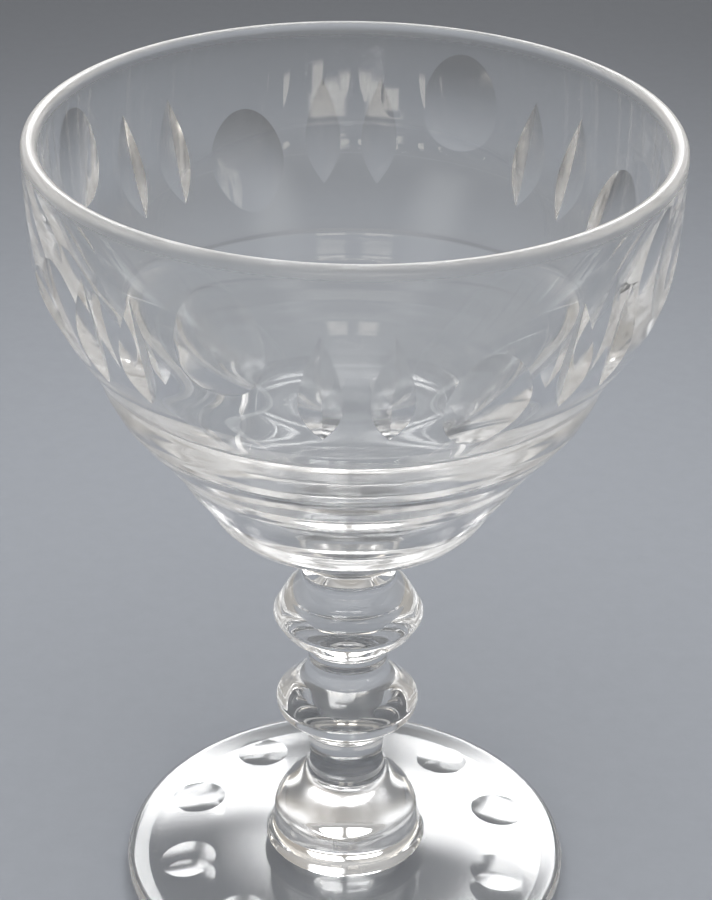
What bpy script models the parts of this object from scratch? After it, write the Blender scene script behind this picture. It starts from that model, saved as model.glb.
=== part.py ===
"""Sherbet glass: a wide cut bowl on a stem with two ring knops, a bell collar and a round foot.

All dimensions are millimetres. Z is up, the foot rests on z = 0 and the axis of the glass is Z.
"""

import math

import bmesh
import bpy
from mathutils import Vector

for old in list(bpy.data.objects):
    bpy.data.objects.remove(old, do_unlink=True)

MM = 0.001

# Overall
HEIGHT = 124.0
GAP = 0.3  # left between two fused faces
ROUND_BOWL = 56  # segments
ROUND_STEM = 36
ROUND_FOOT = 48

# Bowl: lip and walls
LIP_WALL = 2.2
LIP_R = 44.0  # radius of the lip's crest
WALL_OUTER = [(45.1, 118.0), (44.9, 113.0), (44.5, 108.0), (43.0, 102.0), (40.3, 97.0)]
WALL_INNER = [(42.6, 118.0), (41.75, 112.0), (40.1, 106.0), (37.0, 99.5), (32.6, 93.0), (26.8, 85.2), (19.7, 76.9), (11.3, 69.7)]
INNER_FLOOR = 67.0

# Bowl: ring-cut base. Each ring ends in a sharp edge and the next one starts further in.
RING_R = [37.4, 34.0, 29.9, 27.2, 22.5, 20.6]
RING_Z = [92.5, 85.0, 80.0, 76.6, 69.6, 66.4]
RING_STEP = [0.5, 0.5, 0.45, 0.45, 0.8]  # in and down at each edge but the last
RING_BULGE = 0.028  # of a ring's length
BASE_ROUND = 1.5

# Stem: joints, waists and knops
JOINT_BOWL = 58.5
JOINT_KNOPS = 39.0
JOINT_SHANK = 21.5
JOINT_FOOT = 5.35
NECK_R = 7.3
WAIST_R = 5.95
SHANK_R = 5.7
SKIRT_R = 12.5  # the collar's flared base

# Knops as flanks: each corner is a radius, a height and how far it is rounded
UPPER_KNOP = [(7.12, 52.75, 0.45), (9.4, 50.4, 1.8), (11.5, 46.65, 1.0), (10.3, 44.55, 1.8), (6.3, 40.9, 2.4)]
LOWER_KNOP = [(6.45, 36.0, 1.1), (10.98, 31.35, 0.85), (10.72, 29.75, 0.85), (6.7, 25.85, 2.2), (5.95, 23.2, 3.0)]

# Bell collar, from the shank down to its skirt
COLLAR = [(5.72, 20.4), (5.92, 18.9), (6.6, 17.4), (7.8, 16.0), (9.25, 14.35), (10.45, 12.55), (11.1, 11.0), (11.3, 9.5), (11.42, 8.1), (11.75, 6.7)]

# Foot
FOOT_R = 34.7
FOOT_EDGE = 2.7
FOOT_TOP = [(18.0, 4.65), (26.0, 3.65), (31.2, 2.98)]
RECESS_R = 29.8
RECESS_DEPTH = 0.8

# Cuts in the bowl: round-bottomed ovals at two heights, with a pair of pointed V-cuts between each two
PERIODS = 8
PATTERN_TURN = 1.05  # degrees
OVAL_Z_HIGH = 112.2
OVAL_Z_LOW = 103.2
OVAL_WIDTH = 12.2
OVAL_HEIGHT = 15.4
OVAL_DEPTH_HIGH = 0.8
OVAL_DEPTH_LOW = 1.35
LEAF_Z = 106.7
LEAF_WIDTH = 5.9
LEAF_HEIGHT = 16.2
LEAF_DEPTH = 1.05
LEAF_SPACING = 11.7  # degrees, between the two V-cuts of a pair

# Cuts in the foot
DISHES = 10
DISH_TURN = -2.5  # degrees from the front
DISH_AT = 25.6
DISH_WIDTH = 8.8
DISH_DEPTH = 0.32


def spline(points, steps):
    """Catmull-Rom curve through the points, with the end points included."""
    ends = [
        tuple(2 * a - b for a, b in zip(points[0], points[1])),
        tuple(2 * a - b for a, b in zip(points[-1], points[-2])),
    ]
    ring = [ends[0], *points, ends[1]]
    curve = []
    for i in range(1, len(ring) - 2):
        p0, p1, p2, p3 = ring[i - 1 : i + 3]
        for k in range(steps):
            t = k / steps
            curve.append(
                tuple(
                    0.5 * (2 * b + (c - a) * t + (2 * a - 5 * b + 4 * c - d) * t * t + (3 * b - a - 3 * c + d) * t**3)
                    for a, b, c, d in zip(p0, p1, p2, p3)
                )
            )
    return [*curve, points[-1]]


def arc(centre, radius, start, stop, steps):
    """Points on a circle in the (r, z) plane, angles in degrees from +r."""
    return [
        (
            centre[0] + radius * math.cos(math.radians(start + (stop - start) * k / steps)),
            centre[1] + radius * math.sin(math.radians(start + (stop - start) * k / steps)),
        )
        for k in range(steps + 1)
    ]


def rounded(start, corners, stop, steps):
    """A line of (r, z) points from start to stop whose corners are rounded to their radii."""
    made = [start]
    whole = [Vector(p[:2]) for p in (start, *corners, stop)]
    for a, b, c, corner in zip(whole, whole[1:], whole[2:], corners):
        u, v = (a - b).normalized(), (c - b).normalized()
        half = u.angle(v) / 2
        reach = min(corner[2] / math.tan(half), 0.45 * min((a - b).length, (c - b).length))
        radius = reach * math.tan(half)
        centre = b + (u + v).normalized() * (radius / math.sin(half))
        first, last = b + u * reach - centre, b + v * reach - centre
        turn = math.atan2(first.x * last.y - first.y * last.x, first.dot(last))
        for k in range(steps + 1):
            f = turn * k / steps
            made.append((centre.x + first.x * math.cos(f) - first.y * math.sin(f), centre.y + first.x * math.sin(f) + first.y * math.cos(f)))
    return [*made, stop]


def material(name, colour):
    made = bpy.data.materials.new(name)
    made.use_nodes = True
    shader = made.node_tree.nodes["Principled BSDF"]
    shader.inputs["Base Color"].default_value = (*colour, 1.0)
    shader.inputs["Roughness"].default_value = 0.02
    shader.inputs["IOR"].default_value = 1.52
    shader.inputs["Transmission Weight"].default_value = 1.0
    return made


def mesh_object(name, verts, faces):
    mesh = bpy.data.meshes.new(name)
    mesh.from_pydata([tuple(c * MM for c in v) for v in verts], [], faces)
    work = bmesh.new()
    work.from_mesh(mesh)
    bmesh.ops.recalc_face_normals(work, faces=work.faces)
    if work.calc_volume(signed=True) < 0:
        bmesh.ops.reverse_faces(work, faces=work.faces)
    work.to_mesh(mesh)
    work.free()
    made = bpy.data.objects.new(name, mesh)
    bpy.context.scene.collection.objects.link(made)
    return made


def turned(name, profile, segments, colour):
    """A solid turned from a profile of (r, z) points that starts and ends on the axis."""
    verts = [(0.0, 0.0, profile[0][1])]
    rows = []
    for r, z in profile[1:-1]:
        rows.append(len(verts))
        for k in range(segments):
            a = 2 * math.pi * k / segments
            verts.append((r * math.cos(a), r * math.sin(a), z))
    last = len(verts)
    verts.append((0.0, 0.0, profile[-1][1]))
    faces = []
    for k in range(segments):
        n = (k + 1) % segments
        faces.append((0, rows[0] + n, rows[0] + k))
        for a, b in zip(rows, rows[1:]):
            faces.append((a + k, a + n, b + n, b + k))
        faces.append((rows[-1] + k, rows[-1] + n, last))
    made = mesh_object(name, verts, faces)
    for face in made.data.polygons:
        face.use_smooth = True
    made.data.materials.append(material(name, colour))
    return made


def wall_radius(z):
    """Radius of the bowl's outer wall between the lip and the first ring."""
    for (r0, z0), (r1, z1) in zip(OUTER_CURVE, OUTER_CURVE[1:]):
        if z1 <= z <= z0:
            return r0 + (r1 - r0) * (z0 - z) / (z0 - z1)
    return OUTER_CURVE[0][0]


def foot_height(r):
    """Height of the foot's top between the collar and the edge."""
    for (r0, z0), (r1, z1) in zip(FOOT_CURVE, FOOT_CURVE[1:]):
        if r0 <= r <= r1:
            return z0 + (z1 - z0) * (r - r0) / (r1 - r0)
    return FOOT_CURVE[-1][1]


def cutter(name, shells, target):
    """One hidden cutter that holds all the shells, taken away from the target."""
    verts, faces = [], []
    for points, polygons in shells:
        base = len(verts)
        verts += points
        faces += [tuple(base + i for i in polygon) for polygon in polygons]
    made = mesh_object(name, verts, faces)
    made.hide_render = True
    made.display_type = "WIRE"
    cut = target.modifiers.new(name, "BOOLEAN")
    cut.operation = "DIFFERENCE"
    cut.solver = "EXACT"
    cut.object = made


def dish_shell(centre, out, side, up, width, height, depth, wall_side, wall_up, sectors=18):
    """A blunt plug whose inner end is a shallow dish. wall_side and wall_up are the wall's own curvatures (1/mm)."""
    half_w, half_h = width / 2, height / 2
    bend_side = 2 * depth / half_w**2 - wall_side
    bend_up = 2 * depth / half_h**2 - wall_up
    rings = (0.5, 0.85, 1.3)

    def at(u, v, w):
        return tuple(centre + out * u + side * v + up * w)

    verts = [at(-depth, 0.0, 0.0)]
    for f in rings:
        for k in range(sectors):
            a = 2 * math.pi * k / sectors
            v, w = f * half_w * math.cos(a), f * half_h * math.sin(a)
            verts.append(at(-depth + 0.5 * bend_side * v * v + 0.5 * bend_up * w * w, v, w))
    top = len(verts)
    for k in range(sectors):
        a = 2 * math.pi * k / sectors
        verts.append(at(4.0, 1.3 * half_w * math.cos(a), 1.3 * half_h * math.sin(a)))
    faces = []
    for k in range(sectors):
        n = (k + 1) % sectors
        faces.append((0, 1 + n, 1 + k))
        for i in range(len(rings)):
            a, b = 1 + i * sectors, 1 + (i + 1) * sectors
            faces.append((a + k, a + n, b + n, b + k))
    faces.append(tuple(top + k for k in range(sectors)))
    return verts, faces


def leaf_shell(centre, out, side, up, width, height, depth, wall_up, rows=8):
    """A wedge with a curved edge: it leaves a V-cut with pointed ends."""
    half_w, half_h = width / 2, height / 2
    slope = depth / half_w
    bend_up = 2 * depth / half_h**2 - wall_up
    verts, faces = [], []
    for i in range(rows + 1):
        w = 1.25 * half_h * (2 * i / rows - 1)
        deep = -depth + 0.5 * bend_up * w * w
        reach = 1.4 * half_w
        for u, v in ((4.0, -reach), (deep + slope * reach, -reach), (deep, 0.0), (deep + slope * reach, reach), (4.0, reach)):
            verts.append(tuple(centre + out * u + side * v + up * w))
    for i in range(rows):
        for j in range(5):
            a, b = 5 * i + j, 5 * i + (j + 1) % 5
            faces.append((a, b, b + 5, a + 5))
    faces.append(tuple(range(5)))
    faces.append(tuple(range(5 * rows, 5 * rows + 5)))
    return verts, faces


# Bowl
LIP_ROUND = LIP_WALL / 2
lip = arc((LIP_R, HEIGHT - LIP_ROUND), LIP_ROUND, 180, 0, 6)
OUTER_CURVE = spline([lip[-1], *WALL_OUTER, (RING_R[0], RING_Z[0])], 3)
inner = spline([(0.0, INNER_FLOOR), (5.5, INNER_FLOOR + 0.45), *reversed(WALL_INNER), lip[0]], 2)
rings = []
for i in range(len(RING_R) - 1):
    top = (RING_R[i] - RING_STEP[i], RING_Z[i] - RING_STEP[i])
    end = (RING_R[i + 1], RING_Z[i + 1])
    bulge = RING_BULGE * math.dist(top, end)
    middle = ((top[0] + end[0]) / 2 + bulge, (top[1] + end[1]) / 2 - bulge)
    rings += [top, middle, end]
base_arc = arc((RING_R[-1] - BASE_ROUND, RING_Z[-1]), BASE_ROUND, -20, -75, 3)
under = spline(
    [base_arc[-1], (12.5, 62.4), (8.6, 60.4), (NECK_R, JOINT_BOWL + GAP / 2)],
    3,
)
bowl_profile = [*inner[:-1], *lip, *OUTER_CURVE[1:], *rings, *base_arc, *under[1:], (0.0, JOINT_BOWL + GAP / 2)]
bowl = turned("bowl", bowl_profile, ROUND_BOWL, (0.97, 0.985, 0.98))

shells = []
for i in range(PERIODS):
    middle_angle = PATTERN_TURN + 360.0 * i / PERIODS
    cuts = [(middle_angle - LEAF_SPACING / 2, "leaf"), (middle_angle + LEAF_SPACING / 2, "leaf")]
    cuts.append((middle_angle + 180.0 / PERIODS, "low" if i % 2 == 0 else "high"))
    for degrees, kind in cuts:
        a = math.radians(degrees)
        z = {"leaf": LEAF_Z, "low": OVAL_Z_LOW, "high": OVAL_Z_HIGH}[kind]
        half = (LEAF_HEIGHT if kind == "leaf" else OVAL_HEIGHT) / 2
        r = wall_radius(z)
        slope = math.atan2(wall_radius(z + half) - wall_radius(z - half), 2 * half)
        radial = Vector((math.sin(a), -math.cos(a), 0.0))
        out = radial * math.cos(slope) - Vector((0.0, 0.0, math.sin(slope)))
        side = Vector((math.cos(a), math.sin(a), 0.0))
        up = radial * math.sin(slope) + Vector((0.0, 0.0, math.cos(slope)))
        centre = radial * r + Vector((0.0, 0.0, z))
        sag = (r - (wall_radius(z + half) + wall_radius(z - half)) / 2) * math.cos(slope)
        wall_up = 2 * sag / half**2
        if kind == "leaf":
            shells.append(leaf_shell(centre, out, side, up, LEAF_WIDTH, LEAF_HEIGHT, LEAF_DEPTH, wall_up))
        else:
            depth = OVAL_DEPTH_HIGH if kind == "high" else OVAL_DEPTH_LOW
            shells.append(dish_shell(centre, out, side, up, OVAL_WIDTH, OVAL_HEIGHT, depth, math.cos(slope) / r, wall_up))
cutter("bowl_cuts", shells, bowl)

# Upper knop with the neck under the bowl
top, bottom = JOINT_BOWL - GAP / 2, JOINT_KNOPS + GAP / 2
profile = [(0.0, top), *rounded((NECK_R, top), UPPER_KNOP, (WAIST_R, bottom), 4), (0.0, bottom)]
turned("upper_knop", profile, ROUND_STEM, (0.965, 0.98, 0.985))

# Lower knop with the waist between the knops
top, bottom = JOINT_KNOPS - GAP / 2, JOINT_SHANK + GAP / 2
profile = [(0.0, top), *rounded((WAIST_R, top), LOWER_KNOP, (SHANK_R, bottom), 4), (0.0, bottom)]
turned("lower_knop", profile, ROUND_STEM, (0.965, 0.98, 0.98))

# Shank and bell collar
top, bottom = JOINT_SHANK - GAP / 2, JOINT_FOOT + GAP / 2
profile = [(0.0, top), *spline([(SHANK_R, top), *COLLAR, (SKIRT_R, bottom)], 2), (0.0, bottom)]
turned("foot_collar", profile, ROUND_STEM, (0.97, 0.98, 0.985))

# Foot
EDGE_ROUND = FOOT_EDGE / 2
FOOT_CURVE = spline([(SKIRT_R, JOINT_FOOT - GAP / 2), *FOOT_TOP, (FOOT_R - EDGE_ROUND, FOOT_EDGE)], 2)
edge = arc((FOOT_R - EDGE_ROUND, EDGE_ROUND), EDGE_ROUND, 90, -90, 6)
profile = [(0.0, JOINT_FOOT - GAP / 2), *FOOT_CURVE, *edge[1:], (RECESS_R + 1.2, 0.0), (RECESS_R, 0.15), (RECESS_R - 9.8, RECESS_DEPTH), (0.0, RECESS_DEPTH + 0.3)]
foot = turned("foot", profile, ROUND_FOOT, (0.975, 0.985, 0.985))

shells = []
for i in range(DISHES):
    a = math.radians(DISH_TURN + 360.0 * i / DISHES)
    radial = Vector((math.sin(a), -math.cos(a), 0.0))
    fall = math.atan2(foot_height(DISH_AT + 4) - foot_height(DISH_AT - 4), 8.0)
    side = Vector((math.cos(a), math.sin(a), 0.0))
    up = radial * math.cos(fall) + Vector((0.0, 0.0, math.sin(fall)))
    out = Vector((0.0, 0.0, math.cos(fall))) - radial * math.sin(fall)
    centre = radial * DISH_AT + Vector((0.0, 0.0, foot_height(DISH_AT)))
    shells.append(dish_shell(centre, out, side, up, DISH_WIDTH, DISH_WIDTH, DISH_DEPTH, 0.0, 0.0, 16))
cutter("foot_cuts", shells, foot)
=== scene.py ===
"""Sherbet glass: the pieces that are seen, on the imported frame, with the stage, the light and the camera.

Sizes are millimetres until a mesh is made. Z is up, the foot rests on z = 0 and -Y faces the camera.
"""

import math

import bpy
import numpy as np
from mathutils import Matrix, Vector
from mathutils.geometry import delaunay_2d_cdt


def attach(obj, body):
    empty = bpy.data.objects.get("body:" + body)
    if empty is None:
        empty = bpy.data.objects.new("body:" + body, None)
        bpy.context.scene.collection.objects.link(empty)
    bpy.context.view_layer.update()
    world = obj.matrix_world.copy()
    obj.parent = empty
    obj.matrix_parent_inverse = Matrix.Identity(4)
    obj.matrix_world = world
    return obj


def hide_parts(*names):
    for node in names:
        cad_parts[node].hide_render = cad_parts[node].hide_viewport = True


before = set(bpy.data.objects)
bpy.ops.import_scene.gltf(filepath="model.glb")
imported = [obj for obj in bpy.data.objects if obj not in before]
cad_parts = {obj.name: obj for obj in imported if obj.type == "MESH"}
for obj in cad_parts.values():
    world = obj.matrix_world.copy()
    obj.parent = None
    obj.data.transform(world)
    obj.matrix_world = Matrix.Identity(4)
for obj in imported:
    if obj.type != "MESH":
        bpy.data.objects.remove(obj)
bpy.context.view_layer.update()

MM = 0.001

# Bowl: lip, walls and ring-cut base, as (r, z)
LIP_R = 43.97
LIP_Z = 122.9
LIP_ROUND = 1.09
WALL_OUTER = [(37.4, 92.5), (40.3, 97.0), (43.0, 102.0), (44.5, 108.0), (44.9, 113.0), (45.04, 118.0), (LIP_R + LIP_ROUND, LIP_Z)]
WALL_INNER = [(0.0, 67.0), (5.5, 67.4), (11.3, 69.7), (19.7, 76.9), (26.8, 85.2), (32.6, 93.0), (37.0, 99.5), (40.1, 106.0), (41.75, 112.0), (42.6, 118.0), (LIP_R - LIP_ROUND, LIP_Z)]
RING_R = [37.4, 34.0, 29.9, 27.2, 22.5, 20.6]
RING_Z = [92.5, 85.0, 80.0, 76.6, 69.6, 66.4]
RING_STEP = [0.5, 0.5, 0.45, 0.45, 0.8]  # in and down at each edge but the last

# Stem: flanks and how far each edge between them is rounded, from under the bowl to the shank, then the bell collar
NECK = [(19.35, 64.95), (12.6, 62.5), (9.0, 60.6), (7.5, 58.9), (7.08, 57.2), (7.02, 55.6)]
KNOPS = [
    (7.02, 55.6, 0.0), (7.12, 52.75, 0.45), (9.4, 50.4, 1.8), (11.5, 46.65, 1.0), (10.3, 44.55, 1.8), (6.3, 40.9, 2.4), (5.95, 39.0, 9.0),
    (6.45, 36.0, 1.1), (10.98, 31.35, 0.85), (10.72, 29.75, 0.85), (6.7, 25.85, 2.2), (5.95, 23.2, 9.0), (5.7, 21.4, 0.0),
]
SKIRT_R = 12.5
COLLAR = [(5.7, 21.4), (5.72, 20.4), (5.92, 18.9), (6.6, 17.4), (7.8, 16.0), (9.25, 14.35), (10.45, 12.55), (11.1, 11.0), (11.3, 9.5), (11.42, 8.1), (11.75, 6.7), (SKIRT_R, 5.5)]
JOINT_BOWL = 58.5
JOINT_KNOPS = 39.0
JOINT_SHANK = 21.5
JOINT_FOOT = 5.35

# Foot
FOOT_TOP = [(SKIRT_R, 5.25), (18.0, 4.65), (26.0, 3.65), (31.2, 2.98), (33.35, 2.7)]
FOOT_R = 34.7
EDGE_ROUND = 1.35
UNDER = [(31.4, 0.0), (29.8, 0.12), (20.0, 0.78), (9.0, 1.06), (0.0, 1.1)]

# Cuts
PATTERN_TURN = 1.05
OVAL = dict(width=12.2, height=15.4, z=(103.2, 112.2), depth=(1.35, 0.8))
LEAF = dict(width=5.9, height=16.2, z=106.7, depth=1.05, spacing=11.7)
DISH = dict(count=10, turn=-2.5, at=25.6, width=8.8, depth=0.32)


# ---------------------------------------------------------------- curves


def cubic(x, y, start=None, stop=None):
    """Cubic spline through y(x). Its ends are natural, or have the slopes given."""
    x, y = np.asarray(x, float), np.asarray(y, float)
    n, h = len(x), np.diff(x)
    a, b = np.zeros((n, n)), np.zeros(n)
    for i in range(1, n - 1):
        a[i, i - 1 : i + 2] = h[i - 1], 2 * (h[i - 1] + h[i]), h[i]
        b[i] = 6 * ((y[i + 1] - y[i]) / h[i] - (y[i] - y[i - 1]) / h[i - 1])
    a[0, 0] = a[-1, -1] = 1.0
    if start is not None:
        a[0, :2] = 2 * h[0], h[0]
        b[0] = 6 * ((y[1] - y[0]) / h[0] - start)
    if stop is not None:
        a[-1, -2:] = h[-1], 2 * h[-1]
        b[-1] = 6 * (stop - (y[-1] - y[-2]) / h[-1])
    m = np.linalg.solve(a, b)

    def at(v):
        v = np.asarray(v, float)
        i = np.clip(np.searchsorted(x, v) - 1, 0, n - 2)
        d, e, w = v - x[i], x[i + 1] - v, h[i]
        return (m[i] * e**3 + m[i + 1] * d**3) / (6 * w) + (y[i] / w - m[i] * w / 6) * e + (y[i + 1] / w - m[i + 1] * w / 6) * d

    return at


def lengths(p):
    return np.r_[0.0, np.cumsum(np.hypot(*np.diff(p, axis=0).T))]


def smooth(points, start=None, stop=None, step=0.04):
    """A fine polyline along the spline through (r, z) points. start and stop are end directions."""
    p = np.array(points, float)
    t = lengths(p)
    r = cubic(t, p[:, 0], None if start is None else start[0], None if stop is None else stop[0])
    z = cubic(t, p[:, 1], None if start is None else start[1], None if stop is None else stop[1])
    s = np.linspace(0, t[-1], max(3, int(t[-1] / step)))
    return np.c_[r(s), z(s)]


def arc(centre, radius, start, stop, steps=40):
    a = np.radians(np.linspace(start, stop, steps))
    return np.c_[centre[0] + radius * np.cos(a), centre[1] + radius * np.sin(a)]


def rounded(points, radii, steps=9):
    """A polyline with each inner corner rounded to its radius."""
    p = [np.array(q, float) for q in points]
    made = [p[0]]
    for a, b, c, radius in zip(p, p[1:], p[2:], radii):
        u, v = (a - b) / np.linalg.norm(a - b), (c - b) / np.linalg.norm(c - b)
        half = math.acos(float(np.clip(u @ v, -1, 1))) / 2
        reach = min(radius / math.tan(half), 0.45 * min(np.linalg.norm(a - b), np.linalg.norm(c - b)))
        radius = reach * math.tan(half)
        centre = b + (u + v) / np.linalg.norm(u + v) * radius / math.sin(half)
        first, last = b + u * reach - centre, b + v * reach - centre
        turn = math.atan2(first[0] * last[1] - first[1] * last[0], first @ last)
        for k in range(steps + 1):
            f = turn * k / steps
            made.append(centre + np.array([first[0] * math.cos(f) - first[1] * math.sin(f), first[0] * math.sin(f) + first[1] * math.cos(f)]))
    made.append(p[-1])
    return np.array(made)


def run(p, step=None, bend=6.0):
    """(points, normals) along a polyline. With a step it is sampled anew: about that far apart, closer where it bends (degrees)."""
    p = np.asarray(p, float)
    keep = np.r_[True, np.hypot(*np.diff(p, axis=0).T) > 1e-7]
    p = p[keep]
    s = lengths(p)
    if len(p) > 2:
        d = np.gradient(p, s, axis=0, edge_order=2 if len(p) > 3 else 1)
    else:
        d = np.repeat(p[1:] - p[:1], 2, axis=0)
    d /= np.linalg.norm(d, axis=1)[:, None]
    n = np.c_[-d[:, 1], d[:, 0]]
    if step is None:
        return p, n
    turn = np.r_[0.0, np.cumsum(np.abs(np.arctan2(d[:-1, 0] * d[1:, 1] - d[:-1, 1] * d[1:, 0], (d[:-1] * d[1:]).sum(1))))]
    cost = s / step + np.degrees(turn) / bend
    at = np.linspace(0, cost[-1], max(2, int(math.ceil(cost[-1]))) + 1)
    pick = np.interp(at, cost, s)
    q = np.c_[np.interp(pick, s, p[:, 0]), np.interp(pick, s, p[:, 1])]
    m = np.c_[np.interp(pick, s, n[:, 0]), np.interp(pick, s, n[:, 1])]
    return q, m / np.linalg.norm(m, axis=1)[:, None]


def between(p, high, low):
    """The part of a falling polyline between two heights."""
    z = -p[:, 1]
    inside = (z > -high + 1e-6) & (z < -low - 1e-6)
    ends = [[np.interp(-h, z, p[:, 0]), h] for h in (high, low)]
    return np.vstack([ends[:1], p[inside], ends[1:]])


# ---------------------------------------------------------------- meshes


class Body:
    """A turned mesh in the making, with a normal for each face corner."""

    def __init__(self, segments, turn=0.0):
        self.segments = segments
        self.start = math.radians(turn)
        a = self.start + 2 * math.pi * np.arange(segments) / segments
        self.out = np.c_[np.sin(a), -np.cos(a), np.zeros(segments)]
        self.verts, self.count, self.rows = [], 0, {}
        self.faces, self.normals, self.slots = [], [], []

    def add(self, points):
        points = np.asarray(points, float).reshape(-1, 3)
        first = self.count
        self.verts.append(points)
        self.count += len(points)
        return np.arange(first, self.count)

    def row(self, r, z):
        key = (round(float(r), 5), round(float(z), 5))
        if key not in self.rows:
            if r < 1e-6:
                self.rows[key] = np.repeat(self.add([(0, 0, z)]), self.segments)
            else:
                self.rows[key] = self.add(self.out * r + np.array([0, 0, z]))
        return self.rows[key]

    def put(self, faces, normals, slot):
        self.faces += faces.tolist()
        self.normals.append(normals.reshape(-1, 3))
        self.slots += np.broadcast_to(slot, len(faces)).tolist()

    def turned(self, made, slot=0):
        points, normals = made
        up = np.array([0.0, 0.0, 1.0])
        for p, q, m, n in zip(points, points[1:], normals, normals[1:]):
            a, b = self.row(*p), self.row(*q)
            na, nb = self.out * m[0] + up * m[1], self.out * n[0] + up * n[1]
            a1, b1, na1, nb1 = np.roll(a, -1), np.roll(b, -1), np.roll(na, -1, 0), np.roll(nb, -1, 0)
            if p[0] < 1e-6:
                self.put(np.c_[a, b, b1], np.stack([na, nb, nb1], 1), slot)
            elif q[0] < 1e-6:
                self.put(np.c_[a, b, a1], np.stack([na, nb, na1], 1), slot)
            else:
                self.put(np.c_[a, b, b1, a1], np.stack([na, nb, nb1, na1], 1), slot)

    def disc(self, r, z, up, slot):
        """A flat face across the axis, in rings."""
        edge = [(0.0, z), (0.35 * r, z), (0.7 * r, z), (r, z)]
        p = np.array(edge if up else edge[::-1])
        self.turned((p, np.tile([0.0, 1.0 if up else -1.0], (len(p), 1))), slot)

    def make(self, name, materials):
        mesh = bpy.data.meshes.new(name)
        mesh.from_pydata((np.vstack(self.verts) * MM).tolist(), [], self.faces)
        for m in materials:
            mesh.materials.append(m)
        mesh.polygons.foreach_set("material_index", self.slots)
        mesh.polygons.foreach_set("use_smooth", [True] * len(self.faces))
        mesh.update()
        mesh.normals_split_custom_set(np.vstack(self.normals).tolist())
        made = bpy.data.objects.new(name, mesh)
        bpy.context.scene.collection.objects.link(made)
        return made


class Cut:
    """A wheel cut: a round dish, or a V with a curved floor. It is placed by its centre and three directions."""

    def __init__(self, angle, t, centre, out, side, up, width, height, depth, wall_side, wall_up, leaf):
        self.angle, self.t, self.leaf = angle, t, leaf
        self.centre, self.out, self.side, self.up = centre, out, side, up
        self.half = (width / 2, height / 2)
        self.depth, self.slope = depth, depth / self.half[0]
        self.bend_side = 2 * depth / self.half[0] ** 2 - wall_side
        self.bend_up = 2 * depth / self.half[1] ** 2 - wall_up

    def floor(self, v, w, flank):
        if self.leaf:
            across = self.slope * (np.abs(v) if flank == 0 else flank * v)
        else:
            across = 0.5 * self.bend_side * v * v
        return -self.depth + across + 0.5 * self.bend_up * w * w

    def height(self, place, ground, angle, t, flank=0):
        """Where the cut's surface lies over (angle, t)."""
        h = np.array(ground(t), float)

        def miss(x):
            q = place(angle, t, x) - self.centre
            return q @ self.out - self.floor(q @ self.side, q @ self.up, flank)

        for _ in range(7):
            f = miss(h)
            h = h - f / ((miss(h + 1e-4) - f) / 1e-4)
        return h


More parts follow.
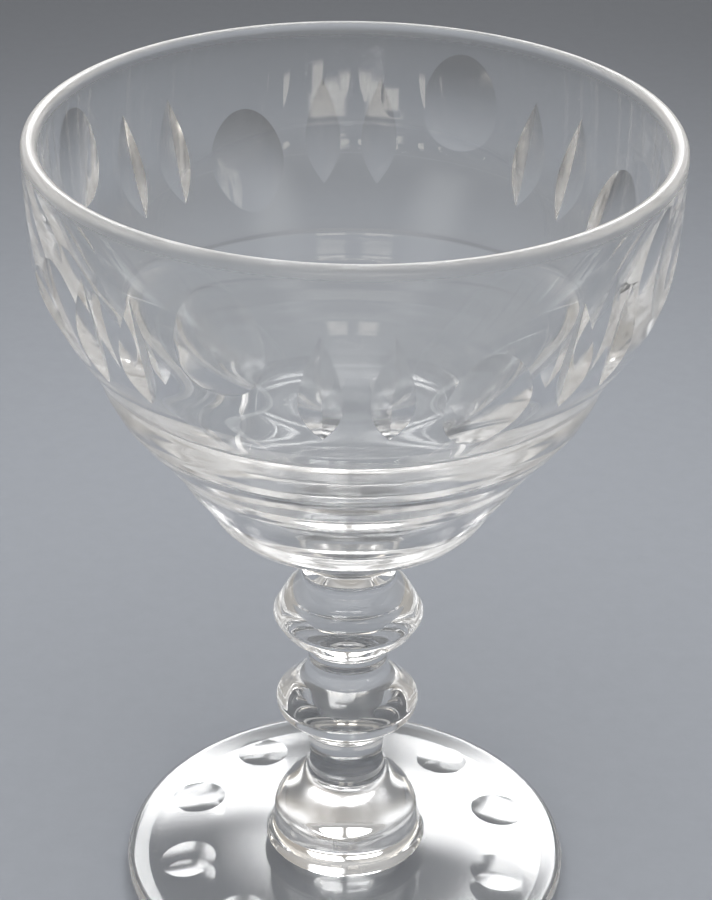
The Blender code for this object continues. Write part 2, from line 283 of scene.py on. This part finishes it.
def cut_band(body, sectors, low, high, scale, place, ground, cuts, grid, cut_slot=0):
    """Fills body between its rows at t = low and t = high with a mesh that follows the cuts. place(angle, t, h) gives points."""
    n = body.segments // sectors
    wide = 2 * math.pi / sectors * scale
    tall = high - low
    points, fixed, kinds = [], [], []  # kinds: ("low", i), ("high", i), ("left", j), ("right", j), ("edge", cut), ("fold", cut), ("free", None)

    def chain(pts, kind, closed=False):
        first = len(points)
        points.extend([tuple(p) for p in pts])
        kinds.extend([(kind[0], i if kind[1] is None else kind[1]) for i in range(len(pts))])
        ids = list(range(first, first + len(pts)))
        fixed.extend(list(zip(ids, ids[1:])) + ([(ids[-1], ids[0])] if closed else []))
        return ids

    rows = int(round(tall / grid))
    bottom = chain([(wide * i / n, low) for i in range(n + 1)], ("low", None))
    top = chain([(wide * i / n, high) for i in range(n + 1)], ("high", None))
    levels = [low + tall * j / rows for j in range(1, rows)]
    left = chain([(0.0, t) for t in levels], ("left", None))
    right = chain([(wide, t) for t in levels], ("right", None))
    for ends, side in (((bottom[0], top[0]), left), ((bottom[-1], top[-1]), right)):
        fixed.extend([(ends[0], side[0]), (side[-1], ends[1])])

    def angle_of(x):
        return body.start + np.asarray(x, float) / scale

    def gap(k, x, t, flank=0):
        """How far the cut lies under the ground, negative outside it."""
        c = cuts[k]
        return ground(t) - c.height(place, ground, angle_of(x), t, flank)

    outlines = []
    for k, c in enumerate(cuts):
        x0 = (c.angle - body.start) * scale

        def reach(f):
            a, b = np.zeros_like(f), np.full_like(f, 1.35 * max(c.half))
            for _ in range(46):
                m = (a + b) / 2
                inside = gap(k, x0 + m * np.cos(f), c.t + m * np.sin(f)) > 0
                a, b = np.where(inside, m, a), np.where(inside, b, m)
            return (a + b) / 2

        f = np.linspace(-math.pi / 2, 1.5 * math.pi, 1441)
        d = reach(f)
        s = lengths(np.c_[d * np.cos(f), d * np.sin(f)])
        count = 2 * int(round(s[-1] / (0.62 * grid) / 2))
        f = np.interp(np.linspace(0, s[-1], count + 1)[:-1], s, f)
        f[count // 2] = math.pi / 2
        d = reach(f)
        ring = np.c_[x0 + d * np.cos(f), c.t + d * np.sin(f)]
        ids = chain(ring, ("edge", k), closed=True)
        outlines.append(ring)
        if c.leaf:
            a, b = ids[0], ids[count // 2]
            span = int(round((ring[count // 2, 1] - ring[0, 1]) / (0.7 * grid)))
            fold = chain([(x0, ring[0, 1] + (ring[count // 2, 1] - ring[0, 1]) * j / span) for j in range(1, span)], ("fold", k))
            fixed.extend([(a, fold[0]), (fold[-1], b)])
    taken = np.array(points)
    height = grid * math.sqrt(3) / 2
    free = []
    for j in range(1, int(tall / height) + 1):
        t = low + j * height
        if t > high - 0.5 * grid:
            break
        for i in range(int(wide / grid) + 1):
            free.append((grid * (i + (0.5 if j % 2 else 0.0)), t))
    free = np.array([p for p in free if 0.5 * grid < p[0] < wide - 0.5 * grid])
    near = np.array([((taken - p) ** 2).sum(1).min() for p in free])
    free = free[near > (0.5 * grid) ** 2]
    points.extend([tuple(p) for p in free])
    kinds.extend([("free", None)] * len(free))

    got, _, tris, origin, _, _ = delaunay_2d_cdt([Vector(p) for p in points], fixed, [], 0, 1e-7)
    got = np.array([tuple(p) for p in got])
    source = [kinds[o[0]] if o else ("free", None) for o in origin]
    tris = np.array([t for t in tris], int)
    a, b, c = got[tris[:, 0]], got[tris[:, 1]], got[tris[:, 2]]
    area = (b[:, 0] - a[:, 0]) * (c[:, 1] - a[:, 1]) - (b[:, 1] - a[:, 1]) * (c[:, 0] - a[:, 0])
    tris = tris[np.abs(area) > 1e-9]
    flip = area[np.abs(area) > 1e-9] < 0
    tris[flip] = tris[flip][:, ::-1]
    middle = got[tris].mean(1)

    # Which surface each triangle is on: 0 is the ground, then each cut, a V-cut by its two flanks
    surface = np.zeros(len(tris), int)
    table = [(None, 0)]
    for k, c in enumerate(cuts):
        x0 = (c.angle - body.start) * scale
        close = (np.abs(middle[:, 0] - x0) < 1.3 * c.half[0]) & (np.abs(middle[:, 1] - c.t) < 1.3 * c.half[1])
        inside = np.zeros(len(tris), bool)
        inside[close] = gap(k, middle[close, 0], middle[close, 1]) > 0
        if c.leaf:
            for flank in (-1, 1):
                table.append((k, flank))
                surface[inside & (np.sign(middle[:, 0] - x0) == flank)] = len(table) - 1
        else:
            table.append((k, 0))
            surface[inside] = len(table) - 1

    heights = np.array(ground(got[:, 1]), float)
    for i in range(1, len(table)):
        k, flank = table[i]
        used = np.unique(tris[surface == i])
        used = np.array([v for v in used if source[v][0] != "edge"], int)
        if len(used):
            heights[used] = cuts[k].height(place, ground, angle_of(got[used, 0]), got[used, 1], flank)

    def spot(i, x, t):
        k, flank = table[i]
        a = angle_of(x)
        return place(a, t, ground(t) if k is None else cuts[k].height(place, ground, a, t, flank))

    corner = np.zeros((len(tris), 3, 3))
    e = 2e-3
    for i in range(len(table)):
        mine = np.flatnonzero(surface == i)
        if not len(mine):
            continue
        used, back = np.unique(tris[mine], return_inverse=True)
        x, t = got[used, 0], got[used, 1]
        nrm = np.cross(spot(i, x + e, t) - spot(i, x - e, t), spot(i, x, t + e) - spot(i, x, t - e))
        nrm /= np.linalg.norm(nrm, axis=1)[:, None]
        corner[mine] = nrm[back.reshape(-1, 3)]

    # The faces look out of the body: test one against its own corner normal
    p = place(angle_of(got[:, 0]), got[:, 1], heights)
    face = np.cross(p[tris[:, 1]] - p[tris[:, 0]], p[tris[:, 2]] - p[tris[:, 0]])
    outward = body.outward(p[tris].mean(1))
    if (face * outward).sum() < 0:
        tris, corner = tris[:, ::-1], corner[:, ::-1]
    if (corner[:, 0] * outward).sum() < 0:
        corner = -corner

    low_row, high_row = body.edge_rows
    sides = [None] * sectors
    step = 2 * math.pi / sectors

    def turn(points, k):
        s, c = math.sin(step * k), math.cos(step * k)
        return points @ np.array([[c, s, 0], [-s, c, 0], [0, 0, 1]])

    left_ids = [v for v in range(len(got)) if source[v][0] == "left"]
    for k in range(sectors):
        sides[k] = dict(zip([source[v][1] for v in left_ids], body.add(turn(p[left_ids], k))))
    for k in range(sectors):
        ids = np.full(len(got), -1)
        new = []
        for v in range(len(got)):
            kind, i = source[v]
            if kind == "low":
                ids[v] = low_row[(k * n + i) % body.segments]
            elif kind == "high":
                ids[v] = high_row[(k * n + i) % body.segments]
            elif kind == "left":
                ids[v] = sides[k][i]
            elif kind == "right":
                ids[v] = sides[(k + 1) % sectors][i]
            else:
                new.append(v)
        ids[new] = body.add(turn(p[new], k))
        body.put(ids[tris], turn(corner.reshape(-1, 3), k).reshape(corner.shape), np.where(surface > 0, cut_slot, 0))


# ---------------------------------------------------------------- materials


def node(tree, kind, **values):
    made = tree.nodes.new(kind)
    for key, value in values.items():
        if key in made.inputs:
            made.inputs[key].default_value = value
        else:
            setattr(made, key, value)
    return made


def glass(name, tint, warm, wave, seed, worn=None, satin=0.0):
    """Clear glass: faint tints that drift through it, a polish that isn't quite even and the waviness of hand-worked glass.

    Above a height, worn[0], it is dulled by use, by worn[1]. satin is what the polishing of a cut leaves of its dullness.
    """
    mat = bpy.data.materials.new(name)
    mat.use_nodes = True
    tree = mat.node_tree
    link = tree.links.new
    shader = tree.nodes["Principled BSDF"]
    shader.inputs["Transmission Weight"].default_value = 1.0
    shader.inputs["IOR"].default_value = 1.52
    where = node(tree, "ShaderNodeTexCoord")
    shift = node(tree, "ShaderNodeMapping", Location=(seed * 0.37, seed * 0.61, seed * 0.23))
    link(where.outputs["Object"], shift.inputs["Vector"])

    drift = node(tree, "ShaderNodeTexNoise", Scale=22.0, Detail=2.0, Roughness=0.5)
    link(shift.outputs[0], drift.inputs["Vector"])
    ramp = node(tree, "ShaderNodeValToRGB")
    ramp.color_ramp.elements[0].position, ramp.color_ramp.elements[1].position = 0.3, 0.72
    ramp.color_ramp.elements[0].color, ramp.color_ramp.elements[1].color = (*warm, 1.0), (*tint, 1.0)
    link(drift.outputs["Fac"], ramp.inputs["Fac"])
    link(ramp.outputs["Color"], shader.inputs["Base Color"])

    polish = node(tree, "ShaderNodeTexNoise", Scale=140.0, Detail=3.0, Roughness=0.6)
    link(shift.outputs[0], polish.inputs["Vector"])
    rough = node(tree, "ShaderNodeMapRange")
    for key, value in (("From Min", 0.35), ("From Max", 0.75), ("To Min", satin), ("To Max", satin + 0.018)):
        rough.inputs[key].default_value = value
    link(polish.outputs["Fac"], rough.inputs["Value"])
    if worn is None:
        link(rough.outputs["Result"], shader.inputs["Roughness"])
    else:
        parts = node(tree, "ShaderNodeSeparateXYZ")
        link(where.outputs["Object"], parts.inputs[0])
        rub = node(tree, "ShaderNodeMapRange", interpolation_type="SMOOTHSTEP")
        for key, value in (("From Min", (worn[0] - 0.6) * MM), ("From Max", (worn[0] + 0.6) * MM), ("To Min", 0.0), ("To Max", worn[1])):
            rub.inputs[key].default_value = value
        link(parts.outputs["Z"], rub.inputs["Value"])
        dull = node(tree, "ShaderNodeMath", operation="ADD")
        link(rough.outputs["Result"], dull.inputs[0])
        link(rub.outputs["Result"], dull.inputs[1])
        link(dull.outputs[0], shader.inputs["Roughness"])

    cords = node(tree, "ShaderNodeMapping", Scale=(1.0, 1.0, 2.2))
    link(shift.outputs[0], cords.inputs["Vector"])
    wavy = node(tree, "ShaderNodeTexNoise", Scale=75.0, Detail=1.0, Roughness=0.4)
    link(cords.outputs[0], wavy.inputs["Vector"])
    bump = node(tree, "ShaderNodeBump", Strength=1.0, Distance=wave * MM)
    link(wavy.outputs["Fac"], bump.inputs["Height"])
    link(bump.outputs["Normal"], shader.inputs["Normal"])
    return mat


def fused(name, like):
    """Where two gathers were fused hot there is no surface to see: the same glass, see-through and without any bending."""
    mat = like.copy()
    mat.name = name
    mat.node_tree.nodes["Principled BSDF"].inputs["Alpha"].default_value = 0.0
    return mat


# ---------------------------------------------------------------- bowl

wall_z = [z for _, z in WALL_OUTER]
wall = cubic(wall_z, [r for r, _ in WALL_OUTER], stop=0.0)


def bowl_place(angle, t, h):
    return np.stack([h * np.sin(angle), -h * np.cos(angle), t + 0 * h], -1)


def wall_cut(degrees, z, width, height, depth, leaf):
    a = math.radians(degrees)
    half = height / 2
    r = float(wall(z))
    above, below = float(wall(z + half)), float(wall(z - half))
    slope = math.atan2(above - below, 2 * half)
    radial, z_up = np.array([math.sin(a), -math.cos(a), 0.0]), np.array([0.0, 0.0, 1.0])
    sag = (r - (above + below) / 2) * math.cos(slope)
    return Cut(
        a, z, radial * r + z_up * z,
        radial * math.cos(slope) - z_up * math.sin(slope),
        np.array([math.cos(a), math.sin(a), 0.0]),
        radial * math.sin(slope) + z_up * math.cos(slope),
        width, height, depth, math.cos(slope) / r, 2 * sag / half**2, leaf,
    )


BAND = (93.6, 122.3)
CUT, RINGS = 2, 3  # the slots of the bowl's cut surfaces
bowl = Body(384, PATTERN_TURN - 77.8)
bowl.outward = lambda p: p * np.array([1.0, 1.0, 0.0])
inner = smooth(WALL_INNER, start=(1.0, 0.0), stop=(0.0, 1.0))
lip = arc((LIP_R, LIP_Z), LIP_ROUND, 180, 0)
fine_z = np.linspace(LIP_Z, wall_z[0], 800)
outer = np.c_[wall(fine_z), fine_z]
above = between(outer, LIP_Z, BAND[1])
bowl.turned(run(np.vstack([inner, lip[1:], above[1:]]), 1.6, 7.0))
base = between(outer, BAND[0], RING_Z[0])
corners = [base[0], base[-1]]
radii = [0.8]
for i in range(len(RING_R) - 1):
    ledge = (RING_R[i] - RING_STEP[i], RING_Z[i] - RING_STEP[i])
    end = (RING_R[i + 1], RING_Z[i + 1])
    bulge = 0.028 * math.dist(ledge, end)
    belly = ((ledge[0] + end[0]) / 2 + bulge, (ledge[1] + end[1]) / 2 - bulge)
    corners += [ledge, belly, end]
    radii += [0.8, 14.0, 0.8]
radii[-1] = 0.9
under_bowl = smooth(NECK, stop=(0.0, -1.0))
knops = rounded([k[:2] for k in KNOPS], [k[2] for k in KNOPS[1:-1]], 14)
bell = smooth(COLLAR, start=(0.0, -1.0), stop=(0.72, -0.69))
stem = np.vstack([under_bowl, knops[1:], bell[1:], [(SKIRT_R, JOINT_FOOT)]])
neck = between(stem, NECK[0][1], JOINT_BOWL)
corners += [neck[0]]
rings = rounded(corners, radii)
bowl.turned(run(np.vstack([rings, neck[1:]]), 0.9, 6.0), RINGS)
neck_r = float(neck[-1, 0])
bowl.disc(neck_r, JOINT_BOWL, False, 1)
bowl.edge_rows = (bowl.row(*base[0]), bowl.row(*above[-1]))
cuts = []
for pair in (-1, 0):
    centre = PATTERN_TURN + 45.0 * pair
    for s in (-0.5, 0.5):
        cuts.append(wall_cut(centre + s * LEAF["spacing"], LEAF["z"], LEAF["width"], LEAF["height"], LEAF["depth"], True))
    kind = 1 if pair % 2 == 0 else 0  # the oval before this pair
    cuts.append(wall_cut(centre - 22.5, OVAL["z"][kind], OVAL["width"], OVAL["height"], OVAL["depth"][kind], False))
cut_band(bowl, 4, BAND[0], BAND[1], 44.5, bowl_place, wall, cuts, 0.72, CUT)

# ---------------------------------------------------------------- stem

STEM_ROUND = 192


def stem_piece(high, low):
    body = Body(STEM_ROUND)
    p = between(stem, high, low)
    body.disc(float(p[0, 0]), high, True, 1)
    if low == JOINT_FOOT:  # the skirt ends in a square edge
        body.turned(run(p[:-1], 0.55, 4.5))
        body.turned(run(p[-2:]))
    else:
        body.turned(run(p, 0.55, 4.5))
    body.disc(float(p[-1, 0]), low, False, 1)
    return body


upper = stem_piece(JOINT_BOWL, JOINT_KNOPS)
lower = stem_piece(JOINT_KNOPS, JOINT_SHANK)
collar = stem_piece(JOINT_SHANK, JOINT_FOOT)

# ---------------------------------------------------------------- foot

foot_top = cubic([r for r, _ in FOOT_TOP], [z for _, z in FOOT_TOP], stop=-0.13)


def foot_place(angle, t, h):
    return np.stack([t * np.sin(angle), -t * np.cos(angle), h + 0 * t], -1)


def foot_cut(degrees):
    a = math.radians(degrees)
    at = DISH["at"]
    fall = math.atan2(float(foot_top(at + 4) - foot_top(at - 4)), 8.0)
    radial, z_up = np.array([math.sin(a), -math.cos(a), 0.0]), np.array([0.0, 0.0, 1.0])
    return Cut(
        a, at, radial * at + z_up * float(foot_top(at)),
        z_up * math.cos(fall) - radial * math.sin(fall),
        np.array([math.cos(a), math.sin(a), 0.0]),
        radial * math.cos(fall) + z_up * math.sin(fall),
        DISH["width"], DISH["width"], DISH["depth"], 0.0, 0.0, False,
    )


FOOT_BAND = (20.0, 31.2)
foot = Body(360, DISH["turn"] - 180.0 / DISH["count"])
foot.outward = lambda p: np.tile([0.0, 0.0, 1.0], (len(p), 1))
foot.disc(SKIRT_R, JOINT_FOOT, True, 1)
seam = np.array([(SKIRT_R, JOINT_FOOT), (SKIRT_R + 0.03, float(foot_top(SKIRT_R + 0.03)))])
foot.turned(run(seam))
r_in = np.linspace(SKIRT_R + 0.03, FOOT_BAND[0], 120)
foot.turned(run(np.c_[r_in, foot_top(r_in)], 0.8))
r_out = np.linspace(FOOT_BAND[1], FOOT_R - EDGE_ROUND, 60)
edge = arc((FOOT_R - EDGE_ROUND, 2.7 - EDGE_ROUND), EDGE_ROUND, 90, -90)
under = smooth(UNDER, start=(-1.0, 0.0), stop=(-1.0, 0.0))
flat = np.array([(FOOT_R - EDGE_ROUND, 0.0), (32.4, 0.0), UNDER[0]])
foot.turned(run(np.vstack([np.c_[r_out, foot_top(r_out)], edge[1:], flat[1:], under[1:]]), 0.8, 8.0))
foot.edge_rows = (foot.row(FOOT_BAND[0], float(foot_top(FOOT_BAND[0]))), foot.row(FOOT_BAND[1], float(foot_top(FOOT_BAND[1]))))
cut_band(foot, DISH["count"], FOOT_BAND[0], FOOT_BAND[1], 25.6, foot_place, foot_top, [foot_cut(DISH["turn"])], 0.62)

# ---------------------------------------------------------------- pieces

CLEAR = dict(
    bowl=((0.985, 0.992, 0.99), (0.972, 0.97, 0.962), 0.010, 1, (122.0, 0.3)),
    upper_knop=((0.982, 0.99, 0.992), (0.968, 0.962, 0.95), 0.012, 2),
    lower_knop=((0.982, 0.99, 0.99), (0.97, 0.964, 0.952), 0.012, 3),
    foot_collar=((0.985, 0.992, 0.994), (0.972, 0.968, 0.96), 0.012, 4),
    foot=((0.988, 0.994, 0.994), (0.976, 0.976, 0.972), 0.014, 5, (1.9, 0.1)),
)
for name, body in (("bowl", bowl), ("upper_knop", upper), ("lower_knop", lower), ("foot_collar", collar), ("foot", foot)):
    clear = glass(name + "_clear", *CLEAR[name])
    layers = [clear, fused(name + "_joint", clear)]
    if name == "bowl":
        layers.append(glass("bowl_cut", (0.984, 0.986, 0.98), (0.97, 0.962, 0.946), 0.010, 1, satin=0.1))
        layers.append(glass("bowl_rings", (0.982, 0.982, 0.974), (0.968, 0.958, 0.938), 0.010, 1, satin=0.06))
    piece = body.make(name + "_glass", layers)
    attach(piece, "root")
    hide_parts(name)

# ---------------------------------------------------------------- stage


def surface(name, colour, spread, painted_far_shade):
    """A plain matt ground, its colour painted pale round the glass and darker further off: a painted pool of light."""
    mat = bpy.data.materials.new(name)
    mat.use_nodes = True
    tree = mat.node_tree
    shader = tree.nodes["Principled BSDF"]
    shader.inputs["Roughness"].default_value = 0.85
    shader.inputs["Specular IOR Level"].default_value = 0.2
    noise = node(tree, "ShaderNodeTexNoise", Scale=260.0, Detail=5.0, Roughness=0.65)
    where = node(tree, "ShaderNodeTexCoord")
    tree.links.new(where.outputs["Object"], noise.inputs["Vector"])
    ramp = node(tree, "ShaderNodeValToRGB")
    ramp.color_ramp.elements[0].color = (*[c * (1 - spread) for c in colour], 1.0)
    ramp.color_ramp.elements[1].color = (*[c * (1 + spread) for c in colour], 1.0)
    tree.links.new(noise.outputs["Fac"], ramp.inputs["Fac"])
    away = node(tree, "ShaderNodeVectorMath", operation="LENGTH")
    tree.links.new(where.outputs["Object"], away.inputs[0])
    # Painted pool of light: the floor colour is scaled from full within 0.1 m of the glass down to the far factor past
    # 0.46 m
    painted_light_pool = node(tree, "ShaderNodeMapRange", interpolation_type="SMOOTHSTEP")
    for key, value in (("From Min", 0.1), ("From Max", 0.46), ("To Min", 1.0), ("To Max", painted_far_shade)):
        painted_light_pool.inputs[key].default_value = value
    tree.links.new(away.outputs["Value"], painted_light_pool.inputs["Value"])
    shade = node(tree, "ShaderNodeVectorMath", operation="SCALE")
    tree.links.new(ramp.outputs["Color"], shade.inputs[0])
    tree.links.new(painted_light_pool.outputs["Result"], shade.inputs["Scale"])
    tree.links.new(shade.outputs["Vector"], shader.inputs["Base Color"])
    return mat


def plane(name, half_x, y0, y1, z, mat):
    mesh = bpy.data.meshes.new(name)
    mesh.from_pydata([(-half_x, y0, z), (half_x, y0, z), (half_x, y1, z), (-half_x, y1, z)], [], [(0, 1, 2, 3)])
    mesh.materials.append(mat)
    made = bpy.data.objects.new(name, mesh)
    bpy.context.scene.collection.objects.link(made)
    return made


# The floor colour is painted darker away from the glass, to 0.3 of it: a painted pool of light
plane("floor", 0.9, -1.0, 0.9, -0.00015, surface("floor_pale", (0.37, 0.395, 0.44), 0.05, 0.3))


def lamp(name, place, aim, size, power, colour, fall):
    """An area light whose brightness falls away over its outer part, fall of each half side."""
    light = bpy.data.lights.new(name, "AREA")
    light.use_nodes = True
    tree = light.node_tree
    at = node(tree, "ShaderNodeNewGeometry")
    split = node(tree, "ShaderNodeSeparateXYZ")
    tree.links.new(at.outputs["Parametric"], split.inputs[0])
    both = node(tree, "ShaderNodeMath", operation="MULTIPLY")
    for i, part in enumerate((fall if isinstance(fall, tuple) else (fall, fall))):
        off = node(tree, "ShaderNodeMath", operation="SUBTRACT")
        off.inputs[1].default_value = 0.5
        size_of = node(tree, "ShaderNodeMath", operation="ABSOLUTE")
        soft = node(tree, "ShaderNodeMapRange", interpolation_type="SMOOTHSTEP")
        for key, value in (("From Min", 0.5 - 0.5 * part), ("From Max", 0.5), ("To Min", 1.0), ("To Max", 0.0)):
            soft.inputs[key].default_value = value
        tree.links.new(split.outputs[i], off.inputs[0])
        tree.links.new(off.outputs[0], size_of.inputs[0])
        tree.links.new(size_of.outputs[0], soft.inputs["Value"])
        tree.links.new(soft.outputs["Result"], both.inputs[i])
    tree.links.new(both.outputs[0], tree.nodes["Emission"].inputs["Strength"])
    light.shape = "RECTANGLE"
    light.size, light.size_y = size
    light.energy = power
    light.color = colour
    made = bpy.data.objects.new(name, light)
    made.location = place
    made.rotation_euler = (Vector(aim) - Vector(place)).to_track_quat("-Z", "Y").to_euler()
    bpy.context.scene.collection.objects.link(made)
    return made


AIM = (0.0, 0.0, 0.06)


def panel(name, azimuth, elevation, away, wide, tall, bright, fall=0.5, colour=(1.0, 1.0, 1.0)):
    """A soft panel seen from the glass at that azimuth (0 is behind it) and elevation. wide and tall are degrees, bright is what it looks like."""
    a, e = math.radians(azimuth), math.radians(elevation)
    place = Vector(AIM) + Vector((math.sin(a) * math.cos(e), math.cos(a) * math.cos(e), math.sin(e))) * away
    size = [2 * away * math.tan(math.radians(x) / 2) for x in (wide, tall)]
    return lamp(name, place, AIM, size, bright * math.pi * size[0] * size[1], colour, fall)


for side, name in ((-1, "left"), (1, "right")):
    panel("front_" + name, side * 138.0, 40, 0.9, 30, 34, 0.7, 0.9)
    panel("low_" + name, side * 168.5, 3, 0.6, 17, 17.5, 4.0, 0.35, (1.0, 0.93, 0.82))
    panel("back_low_" + name, side * 28.0, 7, 1.9, 36, 13, 1.9, 0.6, (0.96, 0.98, 1.0))
panel("back_left", -11.4, 27.2, 1.9, 20, 14, 14.0, (0.45, 0.7))
panel("back_right", 11.6, 31, 1.9, 20, 22, 14.0, (0.45, 0.55))
panel("back_high", 0, 49, 1.5, 70, 24, 0.18, 0.9)
panel("top", 180, 80, 0.8, 58, 58, 1.6, 0.7)

# The room: dim below the horizon, a soft cream above it, warmer to the right behind the glass
world = bpy.data.worlds.new("room")
bpy.context.scene.world = world
world.use_nodes = True
tree = world.node_tree
link = tree.links.new
where = node(tree, "ShaderNodeTexCoord")
parts = node(tree, "ShaderNodeSeparateXYZ")
link(where.outputs["Generated"], parts.inputs[0])
half = node(tree, "ShaderNodeMath", operation="MULTIPLY_ADD")
half.inputs[1].default_value, half.inputs[2].default_value = 0.5, 0.5
link(parts.outputs["Z"], half.inputs[0])
ramp = node(tree, "ShaderNodeValToRGB")
steps = ramp.color_ramp.elements
steps[0].position, steps[0].color = 0.46, (0.09, 0.093, 0.105, 1.0)
steps[1].position, steps[1].color = 0.56, (0.42, 0.4, 0.37, 1.0)
top = steps.new(0.85)
top.color = (0.42, 0.415, 0.41, 1.0)
link(half.outputs[0], ramp.inputs["Fac"])
toward = node(tree, "ShaderNodeVectorMath", operation="DOT_PRODUCT")
toward.inputs[1].default_value = (0.63, 0.75, 0.2)
link(where.outputs["Generated"], toward.inputs[0])
warmth = node(tree, "ShaderNodeMapRange")
for key, value in (("From Min", 0.72), ("From Max", 0.96), ("To Min", 0.0), ("To Max", 0.3)):
    warmth.inputs[key].default_value = value
link(toward.outputs["Value"], warmth.inputs["Value"])
room = node(tree, "ShaderNodeMix", data_type="RGBA")
link(warmth.outputs["Result"], room.inputs["Factor"])
link(ramp.outputs["Color"], room.inputs[6])
room.inputs[7].default_value = (0.5, 0.41, 0.3, 1.0)
link(room.outputs[2], tree.nodes["Background"].inputs["Color"])

# ---------------------------------------------------------------- camera

FOCUS_PX, PITCH, ROLL = 2352.0, math.radians(29.224), math.radians(0.9)
EYE = Vector((0.76, -298.84, 241.34)) * MM
ahead = Vector((0.0, math.cos(PITCH), -math.sin(PITCH)))
flat_right = ahead.cross(Vector((0.0, 0.0, 1.0))).normalized()
flat_up = flat_right.cross(ahead)
right = flat_right * math.cos(ROLL) + flat_up * math.sin(ROLL)
up = flat_up * math.cos(ROLL) - flat_right * math.sin(ROLL)
camera = bpy.data.cameras.new("camera")
camera.sensor_width = 36.0
camera.lens = FOCUS_PX * 36.0 / 900.0
camera.clip_start, camera.clip_end = 0.01, 50.0
eye = bpy.data.objects.new("camera", camera)
eye.matrix_world = Matrix((
    (right.x, up.x, -ahead.x, EYE.x),
    (right.y, up.y, -ahead.y, EYE.y),
    (right.z, up.z, -ahead.z, EYE.z),
    (0.0, 0.0, 0.0, 1.0),
))
bpy.context.scene.collection.objects.link(eye)
scene = bpy.context.scene
scene.camera = eye

paths = scene.cycles
paths.max_bounces = 56
paths.transmission_bounces = 48
paths.glossy_bounces = 48
paths.transparent_max_bounces = 40
paths.diffuse_bounces = 3
scene.view_settings.view_transform = "Standard"
